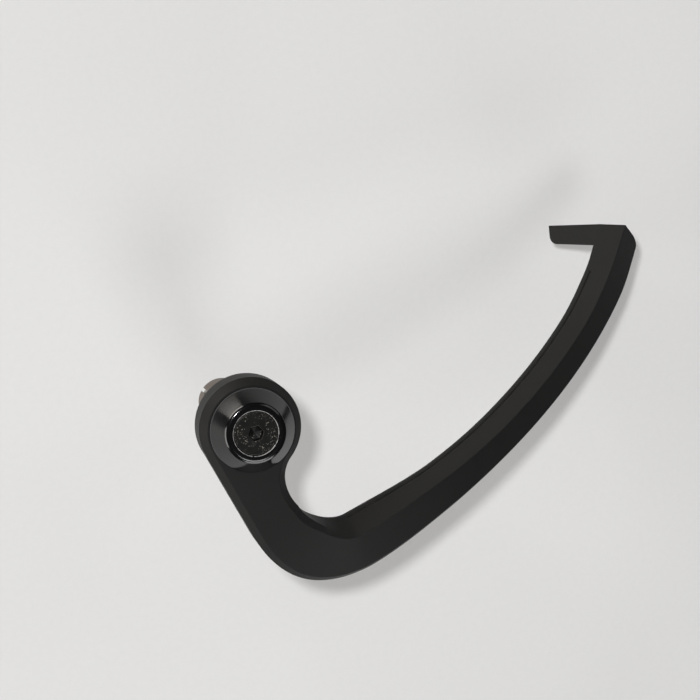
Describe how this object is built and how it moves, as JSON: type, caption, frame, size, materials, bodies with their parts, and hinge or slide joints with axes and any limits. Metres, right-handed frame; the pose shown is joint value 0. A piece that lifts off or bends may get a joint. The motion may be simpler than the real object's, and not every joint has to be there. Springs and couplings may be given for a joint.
{
  "type": "brake lever guard",
  "caption": "Hooked guard for a motorcycle brake lever: a curved bar swept inboard from an eye that an expanding plug and cone cap fix to the handlebar's end.",
  "frame": {"origin": "on the handlebar's axis, on the back face of the guard's eye, where the handlebar ends", "axes": "+Z outboard along the handlebar's axis; the short arm leaves the eye along -Y; the long arm runs towards +X and inboard"},
  "size_m": [0.1583, 0.0756, 0.0696],
  "materials": {
    "guard_bar": "matte black anodised",
    "end_cap": "gloss black anodised",
    "clamp_screw": "black oxide",
    "expander_sleeve": "dull turned",
    "wedge_nut": "plain turned"
  },
  "bodies": {
    "root": {"guard_bar": "guard_bar", "end_cap": "end_cap", "clamp_screw": "clamp_screw", "expander_sleeve": "expander_sleeve", "wedge_nut": "wedge_nut"}
  },
  "joints": []
}
